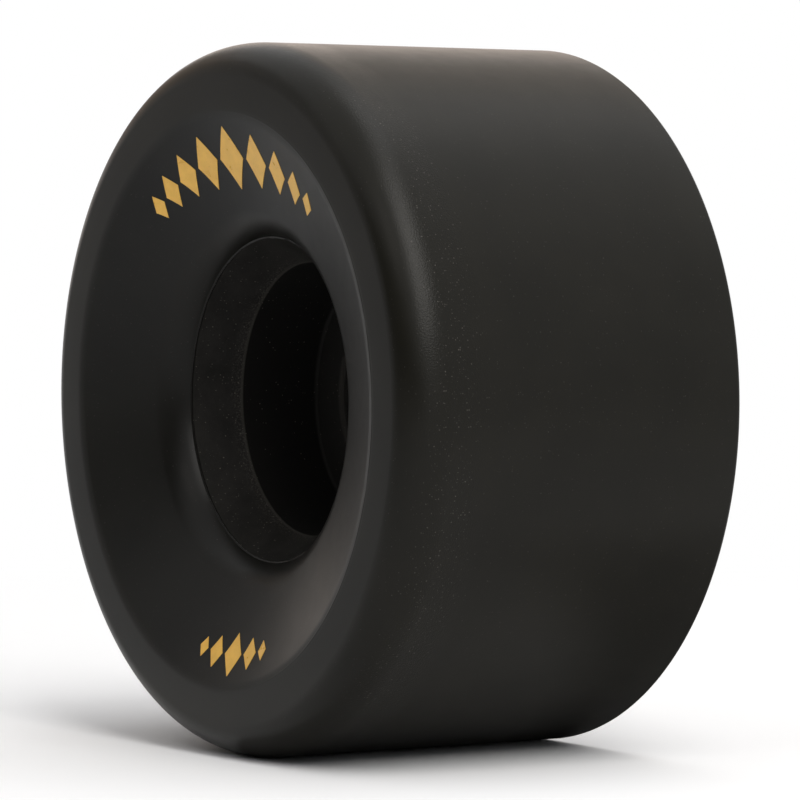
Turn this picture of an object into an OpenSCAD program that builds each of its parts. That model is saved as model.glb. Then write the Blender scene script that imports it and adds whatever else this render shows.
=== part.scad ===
// Roller skate wheel: a cast urethane tyre on a moulded core, with a ball bearing in the core's rear seat.
// The wheel turns about Y. The dished front face looks toward -Y, and the origin is the wheel's centre.

/* [Tyre] */
// Outer diameter of the tread
wheel_d = 57; // [54:0.5:66]
// Overall width, from the front lip to the rear face
wheel_w = 30.5; // [30:0.5:36]
// Radial size of the front shoulder's rounding
shoulder_r = 2.75; // [1.5:0.05:4]
// Axial size of the front shoulder's rounding
shoulder_w = 3.85; // [2:0.05:6]
// Radius of the rear edge
rear_edge_r = 0.4; // [0.2:0.1:1.2]
// Diameter of the crease where the lip turns into the dish
crease_d = 45.6; // [42:0.2:48]
// Radius of the crease
crease_round_r = 3; // [0.5:0.1:5]
// Radius of the turn from the dish into the core's cone
hole_round_r = 6.2; // [4:0.1:7]

/* [Core] */
// Diameter of the core's rim, which is the hole in the tyre's face
rim_d = 26; // [25:0.2:28]
// Diameter of a bearing seat
seat_d = 22; // [21.6:0.1:22.4]
// Depth of a bearing seat
seat_depth = 7.2; // [7.1:0.1:7.6]
// Depth of the cone that leads from the rim to the front seat
cone_depth = 3.6; // [2.5:0.1:4.5]
// Depth of the front seat's floor below the lip
seat_floor_depth = 15.9; // [15:0.1:17]
// Thickness of the stop rib between the seats
rib_w = 6.5; // [5:0.25:7]
// Diameter of the bore through the rib
rib_bore_d = 14.3; // [13:0.1:16]
// Edge break on the rib's bore
rib_edge = 0.25; // [0.1:0.05:0.5]
// Diameter of the core's barrel inside the tyre
barrel_d = 28; // [27:0.2:30]
// Diameter of the flange that locks the tyre at the front
flange_d = 33; // [32:0.2:36]
// Diameter of the core's rear ring
rear_ring_d = 30; // [29:0.2:34]
// Thickness of the flange and of the rear ring
flange_w = 2; // [1.4:0.1:2.6]
// Number of keys on the barrel
key_count = 12; // [6:1:16]
// Width of a key
key_w = 2; // [1.2:0.1:3]
// Height of a key above the barrel
key_h = 1; // [0.6:0.1:1.6]
// How far the core's rear ring lies below the tyre's rear face
rear_inset = 0.25; // [0.1:0.05:0.6]
// Widening of the rear seat's mouth
rear_chamfer = 0.6; // [0.2:0.1:1]

/* [Bearing] */
// Diameter of the bearing's bore
axle_d = 8; // [7:0.1:8.4]
// Width of the bearing
bearing_w = 7; // [6.8:0.1:7.1]
// Diameter of a ball
ball_d = 3.969; // [3.8:0.001:4.1]
// Pitch diameter of the ring of balls
pitch_d = 15; // [14.8:0.1:15.3]
// Diameter of the inner ring's shoulders
inner_shoulder_d = 12.1; // [11.8:0.1:12.4]
// Diameter of the outer ring's shoulders
outer_shoulder_d = 17.8; // [17.6:0.1:18.2]
// Gap between a ball and each race
ball_gap = 0.03; // [0.02:0.01:0.05]
// Bevel on the corners of both rings
ring_edge = 0.3; // [0.2:0.05:0.5]
// Depth of a shield's inner side below the ring's face
shield_depth = 0.75; // [0.7:0.05:1]
// Width of the step that a shield sits on
shield_step = 0.7; // [0.5:0.05:0.8]
// Thickness of a shield
shield_t = 0.3; // [0.2:0.05:0.4]
// Gap between a shield and the inner ring
shield_gap = 0.25; // [0.15:0.05:0.4]
// Thickness of a snap ring
snap_t = 0.3; // [0.2:0.05:0.35]
// Depth of the groove that a snap ring sits in
snap_groove = 0.3; // [0.2:0.05:0.4]
// Radial width of a snap ring
snap_bar = 0.55; // [0.4:0.05:0.8]
// Opening of a snap ring, in degrees
snap_opening = 26; // [12:1:60]
// Gap between the cage and the rings' shoulders
cage_gap = 0.45; // [0.3:0.05:0.6]
// Thickness of the cage behind a ball
cage_wall = 0.32; // [0.25:0.01:0.4]
// Reach of the cage's prongs past the balls' centres
prong_reach = 0.9; // [0.5:0.1:1.2]
// Gap between a ball and its pocket
pocket_gap = 0.1; // [0.05:0.01:0.15]

/* [Hidden] */

urethane = [0.13, 0.13, 0.13];
hub_black = [0.10, 0.10, 0.10];
steel = [0.75, 0.76, 0.78];
bright_steel = [0.85, 0.86, 0.88];
nylon = [0.86, 0.83, 0.74];

round_fn = 120;

wheel_r = wheel_d / 2;
half_w = wheel_w / 2;
crease_r = crease_d / 2;
rim_r = rim_d / 2;
seat_r = seat_d / 2;
rib_bore_r = rib_bore_d / 2;
barrel_r = barrel_d / 2;
flange_r = flange_d / 2;
rear_ring_r = rear_ring_d / 2;

// Heights along the axle, positive toward the front face
floor_z = half_w - seat_floor_depth;
mouth_z = floor_z + seat_depth;
rim_z = mouth_z + cone_depth;
rear_floor_z = floor_z - rib_w;
rear_mouth_z = rear_floor_z - seat_depth;
core_rear_z = min(rear_inset - half_w, rear_mouth_z - rear_chamfer / 2);
flange_step = flange_r - barrel_r;
rear_step = rear_ring_r - barrel_r;
key_bottom_z = core_rear_z + flange_w + rear_step / 2;
key_top_z = rim_z - flange_w - flange_step / 2;

// The dish runs straight from the crease to the turn, which meets the core's cone smoothly at the rim
cone_normal = 90 + atan2(cone_depth, rim_r - seat_r);
turn_r = rim_r - hole_round_r * cos(cone_normal);
turn_z = rim_z - hole_round_r * sin(cone_normal);
turn_reach = norm([crease_r - turn_r, half_w - turn_z]);
dish_normal = atan2(half_w - turn_z, crease_r - turn_r) + acos(hole_round_r / turn_reach);
crease_land = crease_round_r * tan((dish_normal - 90) / 2);

bearing_half = bearing_w / 2;
bearing_z = rear_floor_z - bearing_half;
bearing_r = seat_r;
inner_shoulder_r = inner_shoulder_d / 2;
outer_shoulder_r = outer_shoulder_d / 2;
axle_r = axle_d / 2;
ball_r = ball_d / 2;
pitch_r = pitch_d / 2;
ball_count = 7;
groove_r = ball_r * 1.04;
outer_race_c = pitch_r + ball_r + ball_gap - groove_r;
inner_race_c = pitch_r - ball_r - ball_gap + groove_r;
outer_groove_a = acos((outer_shoulder_r - outer_race_c) / groove_r);
inner_groove_a = acos((inner_race_c - inner_shoulder_r) / groove_r);
shoulder_edge = ring_edge / 3;
shield_in = bearing_half - shield_depth;
shield_out = shield_in + shield_t;
snap_out = shield_out + snap_t;
shield_seat_r = outer_shoulder_r + shield_step;
shield_hole_r = inner_shoulder_r + shield_gap;
shield_bead = shield_t / 3;
shield_bead_r = shield_hole_r + (shield_seat_r - shield_hole_r) / 3;
snap_groove_r = shield_seat_r + snap_groove;
snap_slack = snap_groove / 15;
snap_r = snap_groove_r - snap_slack;
cage_in_r = inner_shoulder_r + cage_gap;
cage_out_r = outer_shoulder_r - cage_gap;
pocket_r = ball_r + pocket_gap;
cage_back = pocket_r + cage_wall;

// Points along an arc, with separate radial and axial radii
function arc(cr, cz, rr, rz, a0, a1, n) =
    [for (i = [0:n]) [cr + rr * cos(a0 + (a1 - a0) * i / n), cz + rz * sin(a0 + (a1 - a0) * i / n)]];

// Turns a profile drawn as radius and height about the axle
module lathe() {
    rotate([90, 0, 0])
        rotate_extrude($fn = round_fn)
            children();
}

// Solid outline of the core, which is also the space that the tyre is cast around
module core_outline() {
    lathe() polygon([
        [0, core_rear_z],
        [rear_ring_r, core_rear_z],
        [rear_ring_r, core_rear_z + flange_w],
        [barrel_r, core_rear_z + flange_w + rear_step],
        [barrel_r, rim_z - flange_w - flange_step],
        [flange_r, rim_z - flange_w],
        [flange_r, rim_z],
        [0, rim_z]
    ]);
    rotate([90, 0, 0])
        for (i = [0:key_count - 1])
            rotate([0, 0, i * 360 / key_count])
                translate([seat_r + (barrel_r - seat_r) / 2, -key_w / 2, key_bottom_z])
                    cube([(barrel_r - seat_r) / 2 + key_h, key_w, key_top_z - key_bottom_z]);
}

module tyre() {
    color(urethane)
        difference() {
            lathe() polygon(concat(
                [
                    [seat_r, core_rear_z + flange_w / 2],
                    [rear_ring_r, core_rear_z + flange_w / 2],
                    [rear_ring_r, -half_w]
                ],
                arc(wheel_r - rear_edge_r, rear_edge_r - half_w, rear_edge_r, rear_edge_r, -90, 0, 4),
                arc(wheel_r - shoulder_r, half_w - shoulder_w, shoulder_r, shoulder_w, 0, 90, 12),
                arc(crease_r + crease_land, half_w - crease_round_r, crease_round_r, crease_round_r, 90, dish_normal, 4),
                arc(turn_r, turn_z, hole_round_r, hole_round_r, dish_normal, cone_normal, 8),
                [
                    [rim_r, rim_z - flange_w / 2],
                    [seat_r, rim_z - flange_w / 2]
                ]
            ));
            core_outline();
        }
}

module core() {
    color(hub_black)
        difference() {
            core_outline();
            lathe() polygon([
                [0, core_rear_z - flange_w],
                [seat_r + rear_chamfer, core_rear_z - flange_w],
                [seat_r + rear_chamfer, core_rear_z],
                [seat_r, rear_mouth_z],
                [seat_r, rear_floor_z],
                [rib_bore_r + rib_edge, rear_floor_z],
                [rib_bore_r, rear_floor_z + rib_edge],
                [rib_bore_r, floor_z - rib_edge],
                [rib_bore_r + rib_edge, floor_z],
                [seat_r, floor_z],
                [seat_r, mouth_z],
                [rim_r, rim_z],
                [rim_r, rim_z + flange_w],
                [0, rim_z + flange_w]
            ]);
        }
}

module bearing_outer_ring() {
    h = bearing_half;
    color(steel)
        translate([0, -bearing_z, 0])
            lathe() polygon(concat(
                [
                    [shield_seat_r, -h],
                    [bearing_r - ring_edge, -h],
                    [bearing_r, ring_edge - h],
                    [bearing_r, h - ring_edge],
                    [bearing_r - ring_edge, h],
                    [shield_seat_r, h],
                    [shield_seat_r, snap_out],
                    [snap_groove_r, snap_out],
                    [snap_groove_r, shield_out],
                    [shield_seat_r, shield_out],
                    [shield_seat_r, shield_in],
                    [outer_shoulder_r, shield_in]
                ],
                arc(outer_race_c, 0, groove_r, groove_r, outer_groove_a, -outer_groove_a, 16),
                [
                    [outer_shoulder_r, -shield_in],
                    [shield_seat_r, -shield_in],
                    [shield_seat_r, -shield_out],
                    [snap_groove_r, -shield_out],
                    [snap_groove_r, -snap_out],
                    [shield_seat_r, -snap_out]
                ]
            ));
}

module bearing_inner_ring() {
    h = bearing_half;
    color(steel)
        translate([0, -bearing_z, 0])
            lathe() polygon(concat(
                [
                    [axle_r + ring_edge, -h],
                    [inner_shoulder_r - shoulder_edge, -h],
                    [inner_shoulder_r, shoulder_edge - h]
                ],
                arc(inner_race_c, 0, groove_r, groove_r, 180 + inner_groove_a, 180 - inner_groove_a, 16),
                [
                    [inner_shoulder_r, h - shoulder_edge],
                    [inner_shoulder_r - shoulder_edge, h],
                    [axle_r + ring_edge, h],
                    [axle_r, h - ring_edge],
                    [axle_r, ring_edge - h]
                ]
            ));
}

// Direction of one ball from the axle, in degrees up from +X
function ball_angle(i) = 90 - (i - 1) * 360 / ball_count;

// Puts its child at the place of one ball
module at_ball(i) {
    translate([pitch_r * cos(ball_angle(i)), -bearing_z, pitch_r * sin(ball_angle(i))])
        children();
}

module ball(i) {
    color(bright_steel)
        at_ball(i)
            sphere(r = ball_r, $fn = 48);
}

module ball_cage() {
    color(nylon)
        difference() {
            translate([0, -bearing_z, 0])
                lathe() polygon([
                    [cage_in_r, -cage_back],
                    [cage_out_r, -cage_back],
                    [cage_out_r, prong_reach],
                    [cage_in_r, prong_reach]
                ]);
            for (i = [1:ball_count])
                at_ball(i)
                    rotate([0, 90 - ball_angle(i), 0])
                        cylinder(h = 2 * ball_d, r = pocket_r, center = true, $fn = 48);
        }
}

// A shield with a raised bead round its hole; side is 1 at the bearing's front and -1 at its rear
module shield(side) {
    color(steel)
        translate([0, -bearing_z, 0])
            lathe() polygon([
                [shield_hole_r, side * (shield_in + shield_bead)],
                [shield_bead_r, side * (shield_in + shield_bead)],
                [shield_bead_r + shield_t, side * shield_in],
                [shield_seat_r, side * shield_in],
                [shield_seat_r, side * shield_out],
                [shield_bead_r + shield_t, side * shield_out],
                [shield_bead_r, side * (shield_out + shield_bead)],
                [shield_hole_r, side * (shield_out + shield_bead)]
            ]);
}

// A split ring that snaps into the outer ring's groove
module snap_ring(side) {
    z = side > 0 ? shield_out : -snap_out;
    color(bright_steel)
        translate([0, -bearing_z, 0])
            rotate([90, 0, 0])
                rotate([0, 0, 90 + snap_opening / 2])
                    rotate_extrude(angle = 360 - snap_opening, $fn = round_fn)
                        translate([snap_r - snap_bar, z])
                            square([snap_bar, snap_t]);
}

tyre();
core();
bearing_outer_ring();
bearing_inner_ring();
ball_cage();
ball(1);  // ball_1
ball(2);  // ball_2
ball(3);  // ball_3
ball(4);  // ball_4
ball(5);  // ball_5
ball(6);  // ball_6
ball(7);  // ball_7
shield(1);  // shield_front
shield(-1);  // shield_rear
snap_ring(1);  // snap_ring_front
snap_ring(-1);  // snap_ring_rear
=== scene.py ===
import math

import bmesh
import bpy
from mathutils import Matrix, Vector


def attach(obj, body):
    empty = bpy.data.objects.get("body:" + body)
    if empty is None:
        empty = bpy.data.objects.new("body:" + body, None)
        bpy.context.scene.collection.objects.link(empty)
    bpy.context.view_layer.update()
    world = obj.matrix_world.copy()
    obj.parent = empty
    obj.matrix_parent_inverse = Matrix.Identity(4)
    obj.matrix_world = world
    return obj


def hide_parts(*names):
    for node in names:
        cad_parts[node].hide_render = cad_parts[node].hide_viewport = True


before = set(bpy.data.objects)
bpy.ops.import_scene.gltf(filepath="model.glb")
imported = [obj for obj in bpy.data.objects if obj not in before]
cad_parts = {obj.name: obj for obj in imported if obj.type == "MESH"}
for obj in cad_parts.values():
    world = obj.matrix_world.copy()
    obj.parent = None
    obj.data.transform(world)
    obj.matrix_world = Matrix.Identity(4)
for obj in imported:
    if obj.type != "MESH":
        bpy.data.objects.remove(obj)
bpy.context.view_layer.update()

# Core: the moulded black nylon hub that the tyre is cast around. A conical mouth leads to the front
# bearing seat, a rib stops both bearings, and the rear seat opens almost flush with the rear face.
# Small mould radii break its corners. Its colour paints a pale highlight round the rib's bore edge and,
# mixed with wear, along the seat mouth. Sizes are in millimetres, and MM turns them into metres.
MM = 0.001
RIM_R = 13.0
RIM_Y = -10.15
RIM_LAND = 0.10
SEAT_R = 11.0
SEAT_MOUTH_Y = -6.55
SEAT_FLOOR_Y = 0.65
SEAT_CORNER = 0.35
RIB_BORE_R = 7.15
RIB_EDGE = 0.3
RIB_REAR_Y = 7.15
RIB_REAR_EDGE = 0.25
REAR_CORNER = 0.3
REAR_MOUTH_Y = 14.35
REAR_CHAMFER = 0.6
CORE_REAR_Y = 15.0
CORE_EDGE = 0.12
FLANGE_R = 16.5
FLANGE_W = 2.0
BARREL_R = 14.0
REAR_RING_R = 15.0
CORE_TURNS = 192
CORE_SHARP = 24
CONE_DARK = (0.0090, 0.0087, 0.0079)
CONE_PALE = (0.0165, 0.0158, 0.0144)
SEAT_BLACK = (0.0072, 0.0070, 0.0065)
RIB_BLACK = (0.0108, 0.0104, 0.0096)
SCUFF_AND_HIGHLIGHT_NYLON = (0.045, 0.042, 0.037)
CORE_DUST = (0.085, 0.078, 0.066)


def arc(centre_r, centre_y, radius_r, radius_y, start, end, steps):
    """Points of an arc in (radius, height along the axle), in millimetres and degrees."""
    points = []
    for i in range(steps + 1):
        a = math.radians(start + (end - start) * i / steps)
        points.append((centre_r + radius_r * math.cos(a), centre_y + radius_y * math.sin(a)))
    return points


def turn_on_lathe(name, outline, turns, sharp_angle):
    """A closed solid of revolution about Y from a closed outline of (radius, height) in millimetres."""
    mesh = bpy.data.meshes.new(name)
    bm = bmesh.new()
    rings = []
    for r, y in outline:
        ring = []
        for i in range(turns):
            a = 2 * math.pi * i / turns
            ring.append(bm.verts.new((r * math.cos(a) * MM, y * MM, r * math.sin(a) * MM)))
        rings.append(ring)
    count = len(rings)
    for j in range(count):
        low, high = rings[j], rings[(j + 1) % count]
        for i in range(turns):
            k = (i + 1) % turns
            bm.faces.new((low[i], low[k], high[k], high[i]))
    bmesh.ops.recalc_face_normals(bm, faces=bm.faces)
    bm.to_mesh(mesh)
    bm.free()
    mesh.shade_smooth()
    mesh.set_sharp_from_angle(angle=math.radians(sharp_angle))
    piece = bpy.data.objects.new(name, mesh)
    bpy.context.scene.collection.objects.link(piece)
    return piece


def new_material(name):
    """A material, its node tree, its Principled shader and the piece's own grid in millimetres."""
    material = bpy.data.materials.new(name)
    material.use_nodes = True
    tree = material.node_tree
    place = tree.nodes.new("ShaderNodeTexCoord")
    scale = tree.nodes.new("ShaderNodeVectorMath")
    scale.operation = "SCALE"
    scale.inputs["Scale"].default_value = 1000.0
    tree.links.new(place.outputs["Object"], scale.inputs[0])
    return material, tree, tree.nodes["Principled BSDF"], scale.outputs["Vector"]


def add_math(tree, operation, a, b=0.0):
    """One sum on one or two values, each given as a socket or as a number."""
    node = tree.nodes.new("ShaderNodeMath")
    node.operation = operation
    for socket, value in zip(node.inputs, (a, b)):
        if isinstance(value, (int, float)):
            socket.default_value = value
        else:
            tree.links.new(value, socket)
    return node.outputs[0]


def add_range(tree, value, low, high, to_low, to_high):
    """Maps a value from one range to another, held at the ends."""
    node = tree.nodes.new("ShaderNodeMapRange")
    node.inputs["From Min"].default_value = low
    node.inputs["From Max"].default_value = high
    node.inputs["To Min"].default_value = to_low
    node.inputs["To Max"].default_value = to_high
    tree.links.new(value, node.inputs["Value"])
    return node.outputs["Result"]


def add_mix(tree, factor, a, b):
    """Mixes two colours, each given as a socket or as three numbers."""
    node = tree.nodes.new("ShaderNodeMix")
    node.data_type = "RGBA"
    tree.links.new(factor, node.inputs["Factor"])
    for socket, colour in ((node.inputs[6], a), (node.inputs[7], b)):
        if isinstance(colour, tuple):
            socket.default_value = (*colour, 1.0)
        else:
            tree.links.new(colour, socket)
    return node.outputs[2]


def add_noise(tree, grid, size, detail=2.0, rough=0.5):
    """Fractal noise whose features are about `size` millimetres across; its value output."""
    node = tree.nodes.new("ShaderNodeTexNoise")
    node.inputs["Scale"].default_value = 1.0 / size
    node.inputs["Detail"].default_value = detail
    node.inputs["Roughness"].default_value = rough
    tree.links.new(grid, node.inputs["Vector"])
    return node.outputs["Fac"]


def add_specks(tree, grid, spacing, radius, share):
    """Scattered specks: their strength, 0 outside them. Only `share` of the cells hold one."""
    cells = tree.nodes.new("ShaderNodeTexVoronoi")
    cells.inputs["Scale"].default_value = 1.0 / spacing
    tree.links.new(grid, cells.inputs["Vector"])
    chance = tree.nodes.new("ShaderNodeSeparateColor")
    tree.links.new(cells.outputs["Color"], chance.inputs["Color"])
    chosen = add_math(tree, "LESS_THAN", chance.outputs[0], share)
    grown = add_math(tree, "MULTIPLY", chance.outputs[1], radius / spacing)
    inside = add_math(tree, "LESS_THAN", cells.outputs["Distance"], grown)
    strength = add_math(tree, "MULTIPLY", chance.outputs[2], chance.outputs[2])
    return add_math(tree, "MULTIPLY", add_math(tree, "MULTIPLY", chosen, inside), strength)


def add_split(tree, grid):
    """The grid's three lengths, apart: across, along the axle and up."""
    node = tree.nodes.new("ShaderNodeSeparateXYZ")
    tree.links.new(grid, node.inputs[0])
    return node.outputs["X"], node.outputs["Y"], node.outputs["Z"]


def add_reach(tree, across, up):
    """Distance from the axle."""
    across_squared = add_math(tree, "MULTIPLY", across, across)
    up_squared = add_math(tree, "MULTIPLY", up, up)
    return add_math(tree, "SQRT", add_math(tree, "ADD", across_squared, up_squared))


def add_bump(tree, shader, height, depth):
    """Bump on the shader; `depth` is the height of a full step in millimetres."""
    node = tree.nodes.new("ShaderNodeBump")
    node.inputs["Strength"].default_value = 1.0
    node.inputs["Distance"].default_value = depth * MM
    tree.links.new(height, node.inputs["Height"])
    tree.links.new(node.outputs["Normal"], shader.inputs["Normal"])


tyre_joint = [
    (FLANGE_R, RIM_Y),
    (FLANGE_R, RIM_Y + FLANGE_W),
    (BARREL_R, RIM_Y + FLANGE_W + FLANGE_R - BARREL_R),
    (BARREL_R, CORE_REAR_Y - FLANGE_W - REAR_RING_R + BARREL_R),
    (REAR_RING_R, CORE_REAR_Y - FLANGE_W),
]
core_outline = [(RIM_R + RIM_LAND, RIM_Y)]
core_outline += tyre_joint
core_outline += [
    (REAR_RING_R, CORE_REAR_Y - CORE_EDGE),
    (REAR_RING_R - CORE_EDGE, CORE_REAR_Y),
    (SEAT_R + REAR_CHAMFER + 0.15, CORE_REAR_Y),
    (SEAT_R + REAR_CHAMFER, CORE_REAR_Y - 0.08),
    (SEAT_R + 0.05, REAR_MOUTH_Y + 0.08),
    (SEAT_R, REAR_MOUTH_Y - 0.05),
]
core_outline += arc(SEAT_R - REAR_CORNER, RIB_REAR_Y + REAR_CORNER, REAR_CORNER, REAR_CORNER, 0, -90, 4)
core_outline += [
    (RIB_BORE_R + RIB_REAR_EDGE, RIB_REAR_Y),
    (RIB_BORE_R, RIB_REAR_Y - RIB_REAR_EDGE),
    (RIB_BORE_R, SEAT_FLOOR_Y + RIB_EDGE),
    (RIB_BORE_R + 0.03, SEAT_FLOOR_Y + 0.24),
    (RIB_BORE_R + 0.22, SEAT_FLOOR_Y + 0.03),
    (RIB_BORE_R + RIB_EDGE, SEAT_FLOOR_Y),
]
core_outline += arc(SEAT_R - SEAT_CORNER, SEAT_FLOOR_Y - SEAT_CORNER, SEAT_CORNER, SEAT_CORNER, 90, 0, 5)
core_outline += [
    (SEAT_R, SEAT_MOUTH_Y + 0.12),
    (SEAT_R + 0.02, SEAT_MOUTH_Y + 0.04),
    (SEAT_R + 0.08, SEAT_MOUTH_Y - 0.12),
    (RIM_R - 0.04, RIM_Y + 0.07),
]
core = turn_on_lathe("core_hub", core_outline, CORE_TURNS, CORE_SHARP)

moulded, tree, shader, grid = new_material("moulded_black_core")
across, along, up = add_split(tree, grid)
up_cone = add_math(tree, "SUBTRACT", SEAT_MOUTH_Y, along)
on_cone = add_range(tree, up_cone, -0.15, -0.05, 0, 1)
at_rib = add_range(tree, along, SEAT_FLOOR_Y - 0.35, SEAT_FLOOR_Y - 0.05, 0, 1)
cloud = add_noise(tree, grid, size=3.0, detail=7.0, rough=0.75)
cone_colour = add_mix(tree, add_range(tree, cloud, 0.35, 0.65, 0, 1), CONE_DARK, CONE_PALE)
seat_colour = add_mix(tree, at_rib, SEAT_BLACK, RIB_BLACK)
body_colour = add_mix(tree, on_cone, seat_colour, cone_colour)
near_mouth = add_math(tree, "MULTIPLY", add_range(tree, up_cone, 0.1, 1.0, 1, 0), on_cone)
scuffs = add_range(tree, add_noise(tree, grid, size=0.13, detail=3.0, rough=0.6), 0.50, 0.66, 0, 1)
# A pale band along the cone's edge at the seat mouth: partly wear, partly a painted highlight on the chamfer
# there.
mouth_edge_wear_and_highlight = add_math(tree, "MULTIPLY", add_range(tree, up_cone, 0.05, 0.20, 0.45, 0), on_cone)
mouth_wear_and_highlight = add_math(tree, "MAXIMUM", add_math(tree, "MULTIPLY", near_mouth, scuffs), mouth_edge_wear_and_highlight)
# A pale line round the rib's bore edge: a painted highlight on the chamfer there.
near_bore = add_range(tree, add_reach(tree, across, up), RIB_BORE_R + 0.20, RIB_BORE_R + 0.50, 0.36, 0)
bore_edge = add_range(tree, along, SEAT_FLOOR_Y + 0.4, SEAT_FLOOR_Y + 1.3, 1, 0)
bore_edge_highlight = add_math(tree, "MULTIPLY", add_math(tree, "MULTIPLY", near_bore, bore_edge), at_rib)
worn_and_highlit_colour = add_mix(tree, add_math(tree, "MAXIMUM", mouth_wear_and_highlight, bore_edge_highlight), body_colour, SCUFF_AND_HIGHLIGHT_NYLON)
dust_share = add_range(tree, on_cone, 0, 1, 0.25, 0.85)
dust = add_specks(tree, grid, spacing=0.22, radius=0.060, share=dust_share)
tree.links.new(add_mix(tree, dust, worn_and_highlit_colour, CORE_DUST), shader.inputs["Base Color"])
tree.links.new(add_range(tree, cloud, 0.3, 0.7, 0.46, 0.58), shader.inputs["Roughness"])
shader.inputs["Specular IOR Level"].default_value = 0.045
add_bump(tree, shader, add_noise(tree, grid, size=0.12), depth=0.010)
core.data.materials.append(moulded)
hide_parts("core")
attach(core, "wheel")

# Bearing rings: hardened and ground steel. The outer ring is pressed into the core's rear seat and the
# inner ring slides on the axle; grinding leaves fine turned lines on their faces.
GROUND_STEEL = (0.62, 0.63, 0.65)
OILED_STEEL = (0.52, 0.53, 0.54)


def dress(node, material):
    """Gives a CAD node that stays in sight its material."""
    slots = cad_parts[node].data.materials
    slots.clear()
    slots.append(material)


ground, tree, shader, grid = new_material("ground_bearing_steel")
across, along, up = add_split(tree, grid)
turned = tree.nodes.new("ShaderNodeCombineXYZ")
tree.links.new(add_reach(tree, across, up), turned.inputs["X"])
tree.links.new(along, turned.inputs["Y"])
turned_lines = add_noise(tree, turned.outputs[0], size=0.06, detail=3.0)
film = add_range(tree, add_noise(tree, grid, size=2.5, detail=3.0), 0.35, 0.7, 0, 1)
tree.links.new(add_mix(tree, film, GROUND_STEEL, OILED_STEEL), shader.inputs["Base Color"])
shader.inputs["Metallic"].default_value = 1.0
tree.links.new(add_range(tree, turned_lines, 0.3, 0.7, 0.20, 0.34), shader.inputs["Roughness"])
add_bump(tree, shader, turned_lines, depth=0.004)
dress("bearing_outer_ring", ground)
dress("bearing_inner_ring", ground)

# Balls and cage: polished steel balls in a moulded nylon crown, greased and closed in by the shields.
# The crown snaps over the balls from one side and keeps them apart.
BALL_COUNT = 7
BALL_DARK = (0.70, 0.71, 0.73)
BALL_BRIGHT = (0.80, 0.81, 0.82)
CAGE_DARK = (0.62, 0.56, 0.42)
CAGE_PALE = (0.74, 0.69, 0.56)
polished, tree, shader, grid = new_material("polished_ball_steel")
smear = add_noise(tree, grid, size=0.8)
tree.links.new(add_mix(tree, smear, BALL_DARK, BALL_BRIGHT), shader.inputs["Base Color"])
shader.inputs["Metallic"].default_value = 1.0
tree.links.new(add_range(tree, smear, 0.3, 0.7, 0.06, 0.14), shader.inputs["Roughness"])
for i in range(1, BALL_COUNT + 1):
    dress(f"ball_{i}", polished)

nylon, tree, shader, grid = new_material("natural_nylon_cage")
mottle = add_noise(tree, grid, size=0.9, detail=3.0)
tree.links.new(add_mix(tree, mottle, CAGE_DARK, CAGE_PALE), shader.inputs["Base Color"])
tree.links.new(add_range(tree, mottle, 0.3, 0.7, 0.42, 0.55), shader.inputs["Roughness"])
add_bump(tree, shader, add_noise(tree, grid, size=0.1), depth=0.006)
dress("ball_cage", nylon)

# Shields and snap rings: thin discs pressed from steel sheet, each held in its step by a split ring of
# drawn spring wire.
SHEET_STEEL = (0.60, 0.61, 0.62)
SHEET_FILM = (0.50, 0.50, 0.51)
WIRE_DARK = (0.34, 0.35, 0.37)
WIRE_PALE = (0.48, 0.49, 0.51)
pressed, tree, shader, grid = new_material("pressed_shield_steel")
sheet_grain = add_noise(tree, grid, size=0.35, detail=3.0)
film = add_range(tree, add_noise(tree, grid, size=2.0), 0.35, 0.65, 0, 1)
tree.links.new(add_mix(tree, film, SHEET_STEEL, SHEET_FILM), shader.inputs["Base Color"])
shader.inputs["Metallic"].default_value = 1.0
tree.links.new(add_range(tree, sheet_grain, 0.3, 0.7, 0.28, 0.40), shader.inputs["Roughness"])
add_bump(tree, shader, sheet_grain, depth=0.005)

wire, tree, shader, grid = new_material("drawn_spring_wire")
draw_lines = add_noise(tree, grid, size=0.2, detail=3.0)
tree.links.new(add_mix(tree, draw_lines, WIRE_DARK, WIRE_PALE), shader.inputs["Base Color"])
shader.inputs["Metallic"].default_value = 1.0
tree.links.new(add_range(tree, draw_lines, 0.3, 0.7, 0.25, 0.38), shader.inputs["Roughness"])
for side in ("front", "rear"):
    dress(f"shield_{side}", pressed)
    dress(f"snap_ring_{side}", wire)

# Tyre: black urethane cast round the core in a turned mould. A flat lip runs round a dished front face,
# the front shoulder is rounded, and the rear edge is left crisp where the casting is faced off. Wavy
# flash rings the hole, and the mould leaves a faint witness line where the lip meets the dish.
WHEEL_R = 28.5
WHEEL_HALF = 15.25
SHOULDER_R = 2.75
SHOULDER_W = 3.85
REAR_EDGE = 0.4
REAR_JOINT_EDGE = 0.1
CREASE_R = 22.8
CREASE_ROUND = 3.0
HOLE_ROUND = 3.75
HOLE_SLOPE = 70.0
FLASH_W = 0.15
FLASH_WAVES = ((23, 0.020), (57, 0.016), (91, 0.012))
WITNESS_R = 22.97
WITNESS_H = 0.020
WITNESS_W = 0.09
WITNESS_NICKS = 0.3
TYRE_TURNS = 320
TYRE_SHARP = 32
DUSTIEST_Y = -11.2
TREAD_DARK = (0.0054, 0.0051, 0.0035)
TREAD_PALE = (0.0071, 0.0066, 0.0046)
DISH_DARK = (0.0052, 0.0050, 0.0042)
DISH_PALE = (0.0068, 0.0066, 0.0055)
FAINT_DUST = (0.030, 0.028, 0.025)
SHOULDER_DUST = (0.066, 0.061, 0.055)

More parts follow.
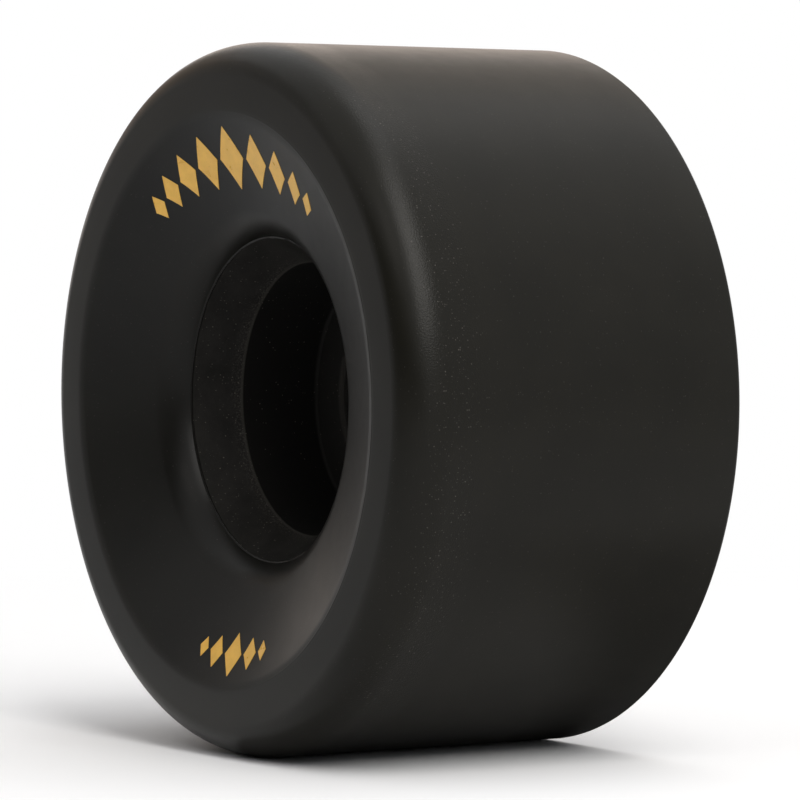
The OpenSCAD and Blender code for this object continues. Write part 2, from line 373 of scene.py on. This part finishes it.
edge_normal = 90 + HOLE_SLOPE
turn_r = RIM_R - HOLE_ROUND * math.cos(math.radians(edge_normal))
turn_y = RIM_Y + HOLE_ROUND * math.sin(math.radians(edge_normal))
turn_reach = math.hypot(CREASE_R - turn_r, WHEEL_HALF + turn_y)
to_crease = math.atan2(WHEEL_HALF + turn_y, CREASE_R - turn_r)
dish_normal = math.degrees(to_crease + math.acos(HOLE_ROUND / turn_reach))
dish_slope = math.radians(dish_normal - 90)
crease_land = CREASE_ROUND * math.tan(dish_slope / 2)
crease_r = CREASE_R + crease_land
crease_y = CREASE_ROUND - WHEEL_HALF


def dish_y(r):
    """Height of the dish at a radius, along the axle."""
    return -(WHEEL_HALF - (CREASE_R - r) * math.tan(dish_slope))


def crease_height(r):
    """Height of the rounded crease between the dish and the lip at a radius, along the axle."""
    return crease_y - math.sqrt(CREASE_ROUND ** 2 - (crease_r - r) ** 2)


tyre_outline = [
    (RIM_R + RIM_LAND, RIM_Y),
    (RIM_R - 0.030, RIM_Y - 0.050),
    (RIM_R - 0.055, RIM_Y - 0.085),
    (RIM_R - 0.030, RIM_Y - 0.110),
]
flash_rings = range(1, 4)
past_flash = math.degrees(FLASH_W / HOLE_ROUND)
tyre_outline += arc(turn_r, turn_y, HOLE_ROUND, HOLE_ROUND, past_flash - edge_normal, -dish_normal, 20)
dish_start = tyre_outline[-1][0]
dish_end = CREASE_R - crease_land * math.cos(dish_slope)
for i in range(1, 8):
    r = dish_start + (dish_end - dish_start) * i / 8
    tyre_outline.append((r, dish_y(r)))
crease = arc(crease_r, crease_y, CREASE_ROUND, CREASE_ROUND, -dish_normal, -90, 8)
tyre_outline += [point for point in crease if point[0] < WITNESS_R - 1.5 * WITNESS_W]
witness_rings = range(len(tyre_outline) + 2, len(tyre_outline) + 4)
for share in (-1.4, -1.0, -0.3, 0.3, 1.0, 1.4):
    r = WITNESS_R + share * WITNESS_W
    tyre_outline.append((r, crease_height(r)))
tyre_outline += [point for point in crease if point[0] > WITNESS_R + 1.5 * WITNESS_W]
tyre_outline.append((0.5 * (CREASE_R + WHEEL_R - SHOULDER_R), -WHEEL_HALF))
tyre_outline += arc(WHEEL_R - SHOULDER_R, SHOULDER_W - WHEEL_HALF, SHOULDER_R, SHOULDER_W, -90, 0, 30)
tyre_outline += [(WHEEL_R, y) for y in (-8.0, -4.0, 0.0, 4.0, 8.0, 12.0)]
tyre_outline += arc(WHEEL_R - REAR_EDGE, WHEEL_HALF - REAR_EDGE, REAR_EDGE, REAR_EDGE, 0, 90, 8)
tyre_outline += [
    (22.0, WHEEL_HALF),
    (REAR_RING_R + REAR_JOINT_EDGE, WHEEL_HALF),
    (REAR_RING_R, WHEEL_HALF - REAR_JOINT_EDGE),
]
tyre_outline += reversed(tyre_joint)
tyre = turn_on_lathe("cast_tyre", tyre_outline, TYRE_TURNS, TYRE_SHARP)
for i in range(TYRE_TURNS):
    a = 2 * math.pi * i / TYRE_TURNS
    wave = sum(height * math.sin(count * a + count) for count, height in FLASH_WAVES)
    for ring in flash_rings:
        point = tyre.data.vertices[ring * TYRE_TURNS + i].co
        point.x -= wave * math.cos(a) * MM
        point.z -= wave * math.sin(a) * MM
    step = min(WITNESS_H, WITNESS_H + WITNESS_NICKS * wave) * math.sqrt(max(0.0, math.cos(a)))
    for ring in witness_rings:
        tyre.data.vertices[ring * TYRE_TURNS + i].co.y -= step * MM

urethane, tree, shader, grid = new_material("cast_black_urethane")
across, along, up = add_split(tree, grid)
reach = add_reach(tree, across, up)
cloud = add_range(tree, add_noise(tree, grid, size=7.0, detail=3.0), 0.35, 0.65, 0, 1)
dish_colour = add_mix(tree, cloud, DISH_DARK, DISH_PALE)
tread_colour = add_mix(tree, cloud, TREAD_DARK, TREAD_PALE)
body_colour = add_mix(tree, add_range(tree, reach, 21.5, 23.5, 0, 1), dish_colour, tread_colour)
off_shoulder = add_math(tree, "ABSOLUTE", add_math(tree, "SUBTRACT", along, DUSTIEST_Y))
out_of_dish = add_range(tree, reach, 24.0, 26.0, 0, 1)
dusty = add_math(tree, "MULTIPLY", add_range(tree, off_shoulder, 0.6, 3.2, 1, 0), out_of_dish)
dust_share = add_range(tree, dusty, 0, 1, 0.32, 0.95)
dust = add_specks(tree, grid, spacing=0.18, radius=0.060, share=dust_share)
dust_colour = add_mix(tree, dusty, FAINT_DUST, SHOULDER_DUST)
tree.links.new(add_mix(tree, dust, body_colour, dust_colour), shader.inputs["Base Color"])
grainy = add_range(tree, dusty, 0, 0.5, 0.12, 1)
satin = add_range(tree, add_noise(tree, grid, size=1.6, detail=4.0), 0.3, 0.7, 0.28, 0.31)
in_place_of_grain = add_range(tree, grainy, 0.12, 1, 0.042, 0)
tree.links.new(add_math(tree, "ADD", satin, in_place_of_grain), shader.inputs["Roughness"])
shader.inputs["Specular IOR Level"].default_value = 0.150
add_bump(tree, shader, add_math(tree, "MULTIPLY", add_noise(tree, grid, size=0.12), grainy), depth=0.021)
tyre.data.materials.append(urethane)
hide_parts("tyre")
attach(tyre, "wheel")

# Print: gold ink pad-printed on the dish in two places, a film a few hundredths of a millimetre thick.
# Each is a plain printer's ornament: a row of lozenges that grow to its middle, bent to the wheel's round.
INK_FILM = 0.03
INK_BED = 0.03
LOZENGE_REACH = 1.05
LOZENGE_STEPS = 8
LOZENGE_TIP = 0.02
GOLD_DEEP = (0.655, 0.365, 0.045)
GOLD_PALE = (0.735, 0.425, 0.062)
THIN_INK = (0.05, 0.03, 0.01)


def ink_shape(bm, stations):
    """A closed slab of ink on the dish from stations of (angle in degrees, inner radius, outer radius)."""
    rows = []
    for angle, inner, outer in stations:
        a = math.radians(angle)
        row = []
        for r, lift in ((inner, INK_FILM), (outer, INK_FILM), (outer, -INK_BED), (inner, -INK_BED)):
            out = r - lift * math.sin(dish_slope)
            y = dish_y(r) - lift * math.cos(dish_slope)
            row.append(bm.verts.new((out * math.cos(a) * MM, y * MM, out * math.sin(a) * MM)))
        rows.append(row)
    for low, high in zip(rows, rows[1:]):
        for i in range(4):
            k = (i + 1) % 4
            bm.faces.new((low[i], low[k], high[k], high[i]))
    bm.faces.new(rows[0])
    bm.faces.new(rows[-1])


def lozenge(bm, angle, reach, middle, height):
    """A diamond: `reach` degrees to each side and `height` millimetres tall."""
    stations = []
    for i in range(-LOZENGE_STEPS, LOZENGE_STEPS + 1):
        part = 1 - abs(i) / LOZENGE_STEPS
        half = max(LOZENGE_TIP, 0.5 * height * part)
        stations.append((angle + reach * i / LOZENGE_STEPS, middle - half, middle + half))
    ink_shape(bm, stations)


def add_ornament(name, material, angle, middle, heights, gap):
    """A row of lozenges bent round the wheel, the first in the middle and the others to both sides."""
    bm = bmesh.new()
    offset = 0.0
    for i, height in enumerate(heights):
        reach = LOZENGE_REACH * height
        if i == 0:
            lozenge(bm, angle, reach, middle, height)
        else:
            offset += gap + reach
            lozenge(bm, angle + offset, reach, middle, height)
            lozenge(bm, angle - offset, reach, middle, height)
        offset += reach
    bmesh.ops.recalc_face_normals(bm, faces=bm.faces)
    mesh = bpy.data.meshes.new(name)
    bm.to_mesh(mesh)
    bm.free()
    piece = bpy.data.objects.new(name, mesh)
    bpy.context.scene.collection.objects.link(piece)
    mesh.materials.append(material)
    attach(piece, "wheel")


gold, tree, shader, grid = new_material("gold_print_ink")
pigment = add_noise(tree, grid, size=1.1, detail=3.0)
ink_colour = add_mix(tree, add_range(tree, pigment, 0.35, 0.65, 0, 1), GOLD_DEEP, GOLD_PALE)
thin = add_range(tree, add_noise(tree, grid, size=0.10, detail=3.0, rough=0.6), 0.66, 0.74, 0, 0.7)
tree.links.new(add_mix(tree, thin, ink_colour, THIN_INK), shader.inputs["Base Color"])
tree.links.new(add_range(tree, pigment, 0.3, 0.7, 0.26, 0.38), shader.inputs["Roughness"])
add_bump(tree, shader, add_noise(tree, grid, size=0.12), depth=0.006)
add_ornament("print_upper", gold, angle=90.0, middle=19.3, heights=(5.0, 4.3, 3.6, 2.9, 2.2), gap=1.6)
add_ornament("print_lower", gold, angle=-88.0, middle=20.2, heights=(3.4, 2.5, 1.6), gap=1.2)

# Studio: a pale floor that fades into a white backdrop, and soft lamps. Matt cards stand round the wheel
# or lie beside it, out of the camera's sight, and shape what the black rubber reflects; the one laid under
# the wheel is a painted shadow of the wheel on the floor. Its sizes are in metres.
FLOOR_Z = -28.5 * MM
FLOOR_SIZE = 8.0
FADE_FROM = 0.035
FADE_TO = 0.22
CARD_REACH = 0.8
CARD_LIFT = 0.0001
PALE_PAPER = (0.93, 0.94, 0.96)
BLACK_FELT = (0.03, 0.03, 0.03)
WHITE = (1.0, 1.0, 1.0, 1.0)


def add_seen(tree):
    """1 for what the camera, mirrors and glass see, and 0 for light that bounces."""
    path = tree.nodes.new("ShaderNodeLightPath")
    seen = add_math(tree, "MAXIMUM", path.outputs["Is Camera Ray"], path.outputs["Is Glossy Ray"])
    return add_math(tree, "MAXIMUM", seen, path.outputs["Is Transmission Ray"])


def make_matt(shader, roughness):
    """Takes the gloss off a shader."""
    shader.inputs["Roughness"].default_value = roughness
    shader.inputs["Specular IOR Level"].default_value = 0.0


def add_panel(name, width, height, material):
    """A flat stage panel."""
    bm = bmesh.new()
    bmesh.ops.create_grid(bm, x_segments=1, y_segments=1, size=0.5)
    bmesh.ops.scale(bm, vec=(width, height, 1.0), verts=bm.verts)
    mesh = bpy.data.meshes.new(name)
    bm.to_mesh(mesh)
    bm.free()
    mesh.materials.append(material)
    panel = bpy.data.objects.new(name, mesh)
    bpy.context.scene.collection.objects.link(panel)
    return panel


paper, tree, shader, grid = new_material("pale_floor")
shader.inputs["Base Color"].default_value = (*PALE_PAPER, 1)
make_matt(shader, 0.9)
away = tree.nodes.new("ShaderNodeVectorMath")
away.operation = "LENGTH"
tree.links.new(grid, away.inputs[0])
fade = add_range(tree, away.outputs["Value"], FADE_FROM / MM, FADE_TO / MM, 0, 1)
white = tree.nodes.new("ShaderNodeEmission")
white.inputs["Color"].default_value = WHITE
white.inputs["Strength"].default_value = 1.0
sweep = tree.nodes.new("ShaderNodeMixShader")
tree.links.new(add_math(tree, "MULTIPLY", fade, add_seen(tree)), sweep.inputs["Fac"])
tree.links.new(shader.outputs[0], sweep.inputs[1])
tree.links.new(white.outputs[0], sweep.inputs[2])
tree.links.new(sweep.outputs[0], tree.nodes["Material Output"].inputs["Surface"])
floor = add_panel("studio_floor", FLOOR_SIZE, FLOOR_SIZE, paper)
floor.location = (0, 0, FLOOR_Z)


def stand_card(name, shade, azimuth, width, top, bottom=FLOOR_Z):
    """A matt card that faces the wheel, on the floor or on a stand; the camera looks past it."""
    board, _, shader, _ = new_material(name)
    shader.inputs["Base Color"].default_value = (*shade, 1)
    make_matt(shader, 1.0)
    card = add_panel(name, width, top - bottom, board)
    turn = math.radians(azimuth)
    card.location = (CARD_REACH * math.cos(turn), CARD_REACH * math.sin(turn), 0.5 * (top + bottom))
    card.rotation_euler = (math.radians(90), 0, turn + math.radians(90))
    card.visible_camera = False


stand_card("dark_card_front", BLACK_FELT, azimuth=-84.0, width=1.16, top=0.42)
stand_card("dark_card_camera", BLACK_FELT, azimuth=-36.0, width=0.42, top=0.17)
stand_card("pale_card_left", (0.54, 0.54, 0.54), azimuth=-146.5, width=0.54, top=0.67)
stand_card("pale_card_low", (0.42, 0.44, 0.48), azimuth=172.0, width=0.20, top=0.012)
stand_card("grey_card_right", (0.60, 0.60, 0.60), azimuth=28.0, width=0.80, top=0.036)
stand_card("warm_card_left", (0.55, 0.44, 0.36), azimuth=180.0, width=0.46, top=0.52, bottom=0.13)
stand_card("warm_card_rear", (0.85, 0.75, 0.66), azimuth=132.0, width=0.50, top=0.86, bottom=0.46)


def lay_card(name, x, y, width, depth):
    """A matt card laid on the floor for the reflections alone; its material's parts, still to be coloured."""
    board, tree, shader, grid = new_material(name)
    make_matt(shader, 1.0)
    card = add_panel(name, width, depth, board)
    card.location = (x, y, FLOOR_Z + CARD_LIFT)
    card.visible_camera = False
    card.visible_diffuse = False
    card.visible_shadow = False
    across, along, _ = add_split(tree, grid)
    return tree, shader, across, along


# Seen only in reflections, this card is a painted shadow of the wheel on the floor under and behind it,
# darkest near the contact.
tree, shader, across, along = lay_card("painted_shadow_under_card", x=0.022, y=0.016, width=0.044, depth=0.064)
shadow_front_tone = add_mix(tree, add_range(tree, across, -14.0, 2.0, 0, 1), (0.40, 0.40, 0.40), (0.94, 0.94, 0.94))
shadow_rear_tone = add_mix(tree, add_range(tree, across, -17.0, 18.0, 0, 1), (0.05, 0.05, 0.05), (0.55, 0.55, 0.55))
painted_shadow_tone = add_mix(tree, add_range(tree, along, -8.0, -1.0, 0, 1), shadow_front_tone, shadow_rear_tone)
tree.links.new(painted_shadow_tone, shader.inputs["Base Color"])

tree, shader, across, along = lay_card("grey_card_left", x=-0.20, y=-0.16, width=0.36, depth=0.30)
off_sides = add_range(tree, add_math(tree, "ABSOLUTE", across), 130.0, 180.0, 1, 0)
off_ends = add_range(tree, add_math(tree, "ABSOLUTE", along), 100.0, 150.0, 1, 0)
middle = add_math(tree, "MULTIPLY", off_sides, off_ends)
tree.links.new(add_mix(tree, middle, (0.94, 0.94, 0.94), (0.64, 0.66, 0.69)), shader.inputs["Base Color"])


def add_softbox(name, place, width, height, watts, colour):
    """A rectangular lamp aimed at the wheel."""
    lamp = bpy.data.lights.new(name, "AREA")
    lamp.shape = "RECTANGLE"
    lamp.size = width
    lamp.size_y = height
    lamp.energy = watts
    lamp.color = colour
    stand = bpy.data.objects.new(name, lamp)
    stand.location = place
    stand.rotation_euler = Vector(place).to_track_quat("Z", "Y").to_euler()
    stand.visible_camera = False
    bpy.context.scene.collection.objects.link(stand)


add_softbox("key_soft", (0.71, -0.125, 0.69), width=0.48, height=0.84, watts=6.9, colour=(1.0, 0.97, 0.93))
add_softbox("top_soft", (0.10, 0.20, 1.00), width=0.80, height=0.42, watts=1.8, colour=(1.0, 0.985, 0.97))
add_softbox("rear_soft", (-0.08, 0.75, 0.85), width=1.50, height=0.45, watts=0.60, colour=(1.0, 0.97, 0.94))
add_softbox("rim_soft", (-0.78, 0.53, 0.30), width=0.5, height=0.30, watts=0.29, colour=(1.0, 0.62, 0.34))
add_softbox("side_soft", (-0.797, -0.063, 0.075), width=0.10, height=0.09, watts=0.045,
            colour=(1.0, 0.75, 0.58))
add_softbox("front_soft", (0.34, -0.66, 0.67), width=0.28, height=0.28, watts=0.40, colour=(1.0, 0.92, 0.85))

world = bpy.data.worlds.new("studio_air")
bpy.context.scene.world = world
world.use_nodes = True
tree = world.node_tree
air = tree.nodes["Background"]
air.inputs["Color"].default_value = WHITE
air.inputs["Strength"].default_value = 0.60
backdrop = tree.nodes.new("ShaderNodeBackground")
backdrop.inputs["Color"].default_value = WHITE
backdrop.inputs["Strength"].default_value = 1.0
choose = tree.nodes.new("ShaderNodeMixShader")
tree.links.new(add_seen(tree), choose.inputs["Fac"])
tree.links.new(air.outputs[0], choose.inputs[1])
tree.links.new(backdrop.outputs[0], choose.inputs[2])
tree.links.new(choose.outputs[0], tree.nodes["World Output"].inputs["Surface"])

# Camera: a long lens a little above the axle, at the front right of the wheel. It is aimed a little to
# the right of the wheel's centre and below it, by lengths counted in the picture's pixels.
CAMERA_AZIMUTH = math.radians(57.825)
CAMERA_RISE = math.radians(1.7352)
CAMERA_REACH = 0.369629
FOCAL_PIXELS = 4551.9
PICTURE_PIXELS = 800.0
AIM_RIGHT = 19.66
AIM_DOWN = 2.23
SENSOR_W = 36.0
back = Vector((
    math.sin(CAMERA_AZIMUTH) * math.cos(CAMERA_RISE),
    -math.cos(CAMERA_AZIMUTH) * math.cos(CAMERA_RISE),
    math.sin(CAMERA_RISE),
))
right = (-back).cross(Vector((0, 0, 1))).normalized()
up = right.cross(-back)
pixel = CAMERA_REACH / FOCAL_PIXELS
aim = right * (AIM_RIGHT * pixel) - up * (AIM_DOWN * pixel)
lens = bpy.data.cameras.new("photo_camera")
lens.sensor_width = SENSOR_W
lens.lens = FOCAL_PIXELS * SENSOR_W / PICTURE_PIXELS
lens.clip_start = 0.01
lens.clip_end = 20.0
camera = bpy.data.objects.new("photo_camera", lens)
camera.location = back * CAMERA_REACH
camera.rotation_euler = (camera.location - aim).to_track_quat("Z", "Y").to_euler()
bpy.context.scene.collection.objects.link(camera)
bpy.context.scene.camera = camera
bpy.context.scene.view_settings.view_transform = "Standard"
